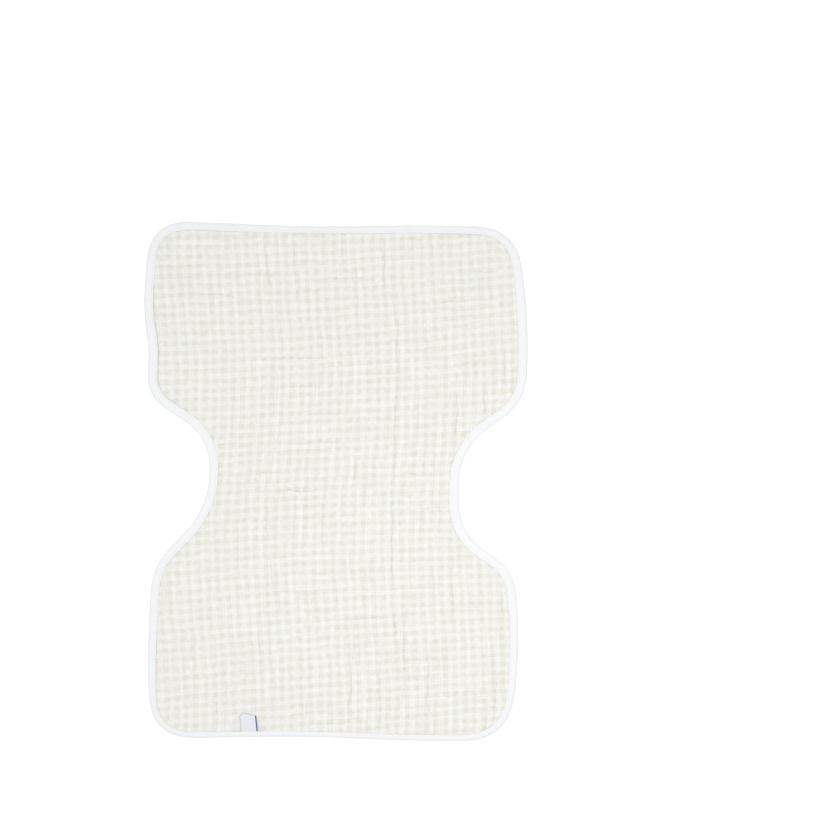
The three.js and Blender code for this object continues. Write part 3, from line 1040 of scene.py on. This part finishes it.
def muslin_bump(tree, flat, warp, weft):
    fuzz = cloudy(tree, flat, 1 / MUSLIN_BUMP["fuzz_length"], detail=3.0)
    soft = bumped(tree, fuzz, MUSLIN_BUMP["fuzz"])
    return bumped(tree, computed(tree, "ADD", warp[1], weft[1]), MUSLIN_BUMP["yarn"], Normal=soft)


def make_muslin():
    material, tree, shader = new_material("cotton_gauze_gingham")
    flat, strayed = muslin_places(tree)
    warp, weft = bands_and_yarns(tree, strayed)
    colour = slubbed(tree, check_colour(tree, warp, weft, flat), flat)
    # Painted shade: the creases' folds are darkened in the colour as well as shaped.
    colour = with_painted_fold_shade(tree, colour, flat)
    normal = muslin_bump(tree, flat, warp, weft)
    connect(tree, shader, {"Base Color": colour, "Normal": normal, **MUSLIN_FINISH})
    return material


finished(muslin_panel, "muslin_cloth", make_muslin())

# %% [markdown]
# ### Cotton tape and thread
#
# The tape is plain-woven white cotton, bleached, so it looks a touch bluer than the gauze. It is cut on
# the bias, so that it bends round the curves, and its threads, about 0.3 mm apart, run at 45 degrees to
# its edge. They are drawn 0.9 mm apart to show at all. The thread that sews it is white polyester,
# smoother and with a little shine.

# %% Tape and thread
TAPE_COLOUR = "#E5E6E7"
TAPE_TONE = {"length": 6.0, "amount": 0.03}
TAPE_WEAVE = {"apart": 0.9, "bias": 45.0, "raised": 0.03}
TAPE_FINISH = {"Roughness": 0.85, "Specular IOR Level": 0.25}
THREAD_TWIST = {"length": 0.6, "raised": 0.05}
THREAD_FINISH = {"Base Color": linear("#E6E7E8"), "Roughness": 0.55}


def make_tape_cotton():
    material, tree, shader = new_material("bleached_cotton_bias_tape")
    uv = add_node(tree, "ShaderNodeUVMap", uv_map="along_tape").outputs["UV"]
    angle = (0.0, 0.0, math.radians(TAPE_WEAVE["bias"]))
    scale = (1 / (TAPE_WEAVE["apart"] * MM),) * 3
    turned = add_node(tree, "ShaderNodeMapping", {"Vector": uv, "Rotation": angle, "Scale": scale}).outputs[0]
    parts = axes(tree, turned)
    turns = [computed(tree, "MULTIPLY", parts[axis], 2 * math.pi) for axis in ("X", "Y")]
    weave = computed(tree, "MULTIPLY", *(computed(tree, "SINE", turn) for turn in turns))
    uneven = cloudy(tree, uv, 1 / (TAPE_TONE["length"] * MM), detail=3.0)
    tone = ranged(tree, uneven, 0.0, 1.0, 1 - TAPE_TONE["amount"], 1 + TAPE_TONE["amount"])
    colour = mixed_colour(tree, 1.0, linear(TAPE_COLOUR), tone, "MULTIPLY")
    normal = bumped(tree, weave, TAPE_WEAVE["raised"])
    connect(tree, shader, {"Base Color": colour, "Normal": normal, **TAPE_FINISH})
    return material


def make_thread():
    material, tree, shader = new_material("white_polyester_thread")
    place = add_node(tree, "ShaderNodeTexCoord").outputs["Object"]
    twist = cloudy(tree, place, 1 / (THREAD_TWIST["length"] * MM), detail=1.0)
    connect(tree, shader, {"Normal": bumped(tree, twist, THREAD_TWIST["raised"]), **THREAD_FINISH})
    return material


finished(edge_binding, "bias_tape", make_tape_cotton())
finished(topstitching, "topstitching", make_thread())

# %% [markdown]
# ### Ribbon
#
# The label is a satin-woven polyester ribbon, pale grey-blue, with a dark blue yarn woven along its
# right edge. The yarn floats on the ribbon's face, so the ply underneath, which lies face down, shows a
# pale edge. Satin is smoother than the tape and catches the light a little. Its threads are drawn 0.5 mm
# apart. The face is left bare.

# %% Ribbon
RIBBON_COLOUR = "#D6D9DE"
RIBBON_EDGE = {"colour": "#2F557E", "width": 1.0, "soft": 0.15}
RIBBON_WEAVE = {"apart": 0.5, "raised": 0.02}
RIBBON_FINISH = {"Roughness": 0.5, "Specular IOR Level": 0.4}


def make_ribbon():
    material, tree, shader = new_material("woven_satin_ribbon")
    parts = axes(tree, place_in_mm(tree, "ribbon"))
    edge_from, soft = LABEL["width"] - RIBBON_EDGE["width"], RIBBON_EDGE["soft"]
    edge = ranged(tree, parts["X"], edge_from - soft, edge_from + soft)
    on_face = computed(tree, "GREATER_THAN", parts["Y"], ribbon_length() / 2)
    shown = computed(tree, "MULTIPLY", edge, on_face)
    colour = mixed_colour(tree, shown, linear(RIBBON_COLOUR), linear(RIBBON_EDGE["colour"]))
    turn = computed(tree, "MULTIPLY", parts["Y"], 2 * math.pi / RIBBON_WEAVE["apart"])
    normal = bumped(tree, computed(tree, "SINE", turn), RIBBON_WEAVE["raised"])
    connect(tree, shader, {"Base Color": colour, "Normal": normal, **RIBBON_FINISH})
    return material


finished(sewn_label, "ribbon_label", make_ribbon())

# %% [markdown]
# ## Table and light
#
# The cloth lies on a white table lit so brightly that the cloth's own faint shadow burns out on it. Most
# of the light comes from all round and fills every fold. A softbox hangs low over the right of the
# cloth, so the cloth is a little brighter there than at its far corners. A weak, wide key light from the
# upper left gives the creases their shade, and puts one under the tape's lip on that side.

# %% The table
TABLE_SIZE = 8.0
TABLE_FINISH = {"Base Color": (0.985, 0.985, 0.985, 1.0), "Roughness": 1.0, "Specular IOR Level": 0.0}


def make_table():
    material, tree, shader = new_material("white_matt_board")
    connect(tree, shader, TABLE_FINISH)
    deselect_all()
    bpy.ops.mesh.primitive_plane_add(size=TABLE_SIZE, location=(0, 0, 0))
    table = bpy.context.object
    table.name = "table_top"
    table.data.materials.append(material)
    return table


print("staged:", make_table().name)

# %% The light
KEY = {"from": (-0.9, 0.75, 1.9), "soft": 40.0, "strength": 0.4}
OVERHEAD = {"from": (0.12, -0.08, 0.7), "size": 0.3, "watts": 1.5}
ROOM_LIGHT = 0.83


def add_light(kind, name, place):
    """A light that shines from its place towards the cloth."""
    bpy.ops.object.light_add(type=kind, location=place)
    light = bpy.context.object
    light.name = name
    light.rotation_euler = (-Vector(place)).to_track_quat("-Z", "Y").to_euler()
    return light


def light_cloth():
    key = add_light("SUN", "key_light", KEY["from"])
    key.data.angle = math.radians(KEY["soft"])
    key.data.energy = KEY["strength"]
    softbox = add_light("AREA", "overhead_softbox", OVERHEAD["from"])
    softbox.data.size = OVERHEAD["size"]
    softbox.data.energy = OVERHEAD["watts"]
    softbox.visible_camera = False


def light_room():
    world = bpy.data.worlds.new("white_room")
    bpy.context.scene.world = world
    world.use_nodes = True
    background = world.node_tree.nodes["Background"]
    background.inputs["Color"].default_value = (1.0, 1.0, 1.0, 1.0)
    background.inputs["Strength"].default_value = ROOM_LIGHT


light_cloth()
light_room()
bpy.context.scene.view_settings.view_transform = "Standard"
print("lights:", [light.name for light in bpy.data.lights])

# %% [markdown]
# ## Joining the pieces to the frame
#
# Each piece moves with the cloth's one body, and stands for the plain CAD solid that it replaces.

for piece, node, slot in (
    (muslin_panel, "muslin_panel", "muslin"),
    (edge_binding, "edge_binding", "binding"),
    (sewn_label, "sewn_label", "label"),
):
    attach(piece, "root")
    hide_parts(node)

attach(topstitching, "root")
